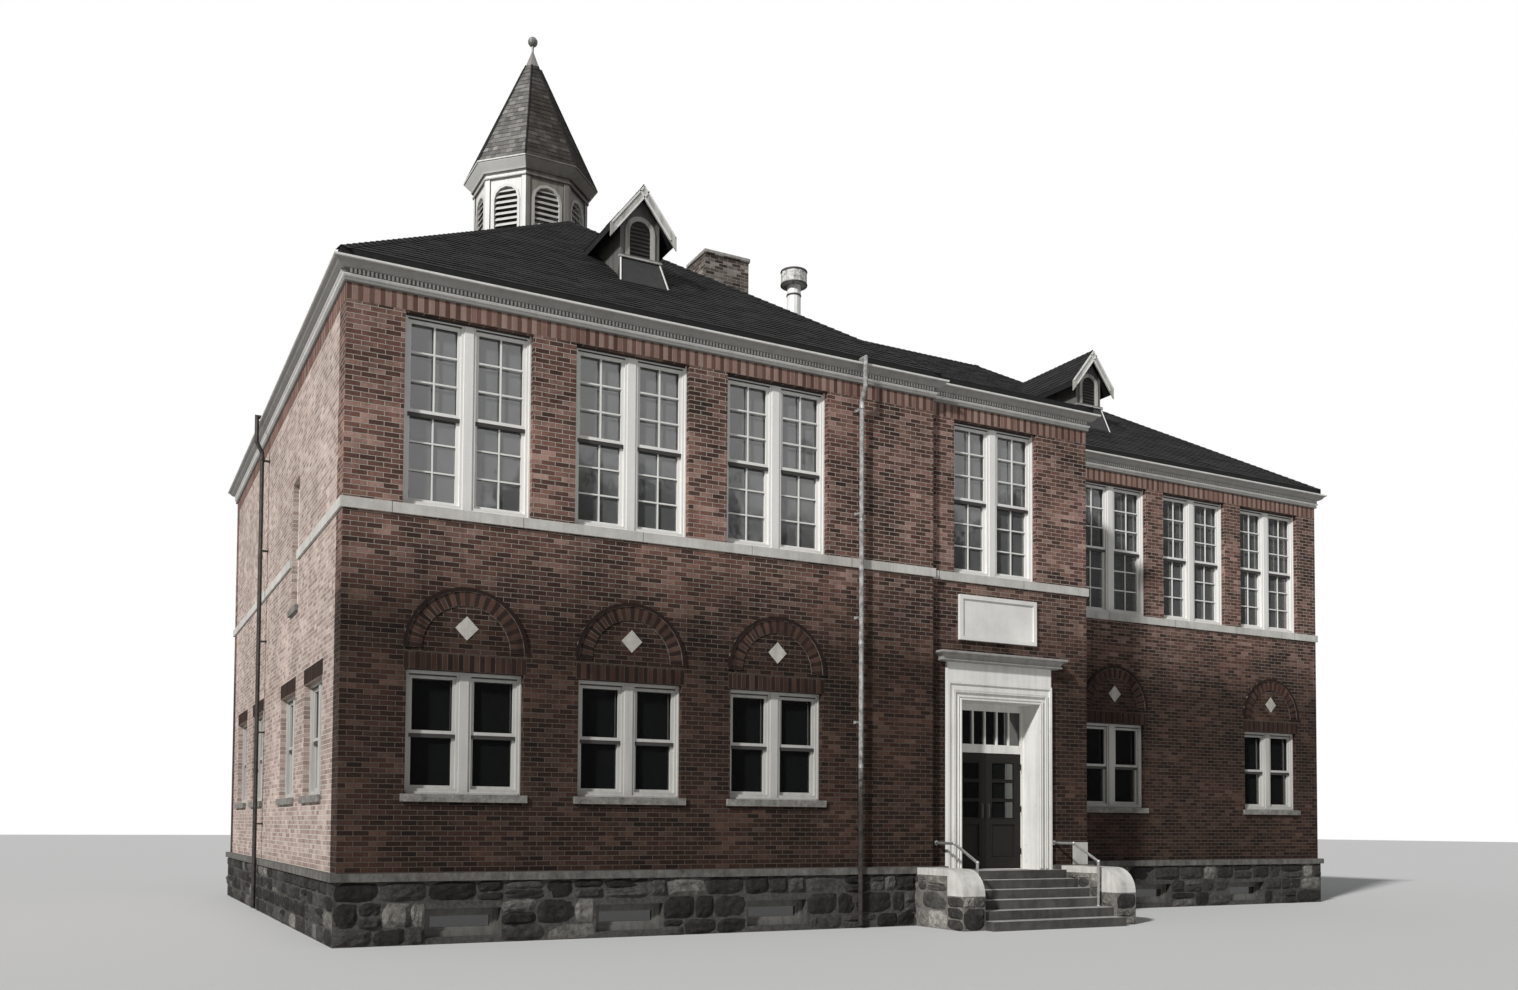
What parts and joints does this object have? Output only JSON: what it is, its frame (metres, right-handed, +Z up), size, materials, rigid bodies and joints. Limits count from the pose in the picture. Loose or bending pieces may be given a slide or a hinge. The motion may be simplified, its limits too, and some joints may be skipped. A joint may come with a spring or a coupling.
{
  "type": "school building",
  "caption": "Brick schoolhouse with hipped shingle roofs, louvred belfry cupola, gabled dormers, tall sash windows, blind arches and a double-door entrance with steps",
  "frame": {"origin": "middle of the whole building in plan, on the lowest ground level", "axes": "+X to the right along the entrance front, +Y back from it, +Z up"},
  "size_m": [21.974, 15.245, 17.7],
  "materials": {
    "brick": "matte",
    "arch_brick": "matte",
    "rubble_stone": "rough",
    "rough_stone": "rough",
    "smooth_stone": "smooth",
    "step_stone": "worn",
    "concrete": "rough",
    "tile": "matte",
    "floor_boards": "worn",
    "white_wood": "painted",
    "louvre_wood": "painted",
    "dark_wood": "painted",
    "shingles": "weathered",
    "dark_metal": "matte",
    "white_metal": "matte",
    "glass": "clear"
  },
  "bodies": {
    "building": {"attic_floor": "floor_boards", "basement_floor": "concrete", "basement_window_frames": "white_wood", "belt_course": "smooth_stone", "blank_tablet": "smooth_stone", "blind_arches": "arch_brick", "cheek_copings": "smooth_stone", "cheek_walls": "rubble_stone", "chimney": "brick", "cornerstone": "smooth_stone", "cornice": "white_wood", "cupola_drum": "white_wood", "cupola_eaves": "white_wood", "cupola_finial": "dark_metal", "cupola_louvres": "louvre_wood", "cupola_spire": "shingles", "door_frame": "white_wood", "door_hood": "white_wood", "door_surround": "white_wood", "dormer_aprons": "dark_metal", "dormer_rakes": "white_wood", "dormer_roofs": "shingles", "dormer_walls": "white_wood", "downspouts": "dark_metal", "entrance_left_pier": "brick", "entrance_right_pier": "brick", "entrance_roof": "shingles", "entrance_side_wall": "brick", "entrance_steps": "step_stone", "entrance_upper_wall": "brick", "foundation_left_wing": "rubble_stone", "foundation_main": "rubble_stone", "ground_floor": "floor_boards", "handrails": "dark_metal", "left_wing_back_wall": "brick", "left_wing_front_wall": "brick", "left_wing_roof": "shingles", "left_wing_side_wall": "brick", "lower_window_frames": "white_wood", "lozenge_tiles": "tile", "main_back_wall": "brick", "main_end_wall": "brick", "main_front_wall": "brick", "main_roof": "shingles", "stair_window_frame": "white_wood", "upper_floor": "floor_boards", "upper_window_frames": "white_wood", "vent_pipe": "white_metal", "water_table": "rough_stone", "window_glass": "glass", "window_sills": "rough_stone"},
    "left_door": {"left_door": "dark_wood", "left_door_glass": "glass"},
    "right_door": {"right_door": "dark_wood", "right_door_glass": "glass"}
  },
  "joints": [
    {"name": "left_door_hinge", "type": "hinge", "parent": "building", "child": "left_door", "pos_m": [-0.4205, -5.5925, 0.905], "axis": [0, 0, -1], "range_deg": [0, 90]},
    {"name": "right_door_hinge", "type": "hinge", "parent": "building", "child": "right_door", "pos_m": [1.1645, -5.5925, 0.905], "axis": [0, 0, 1], "range_deg": [0, 90]}
  ]
}
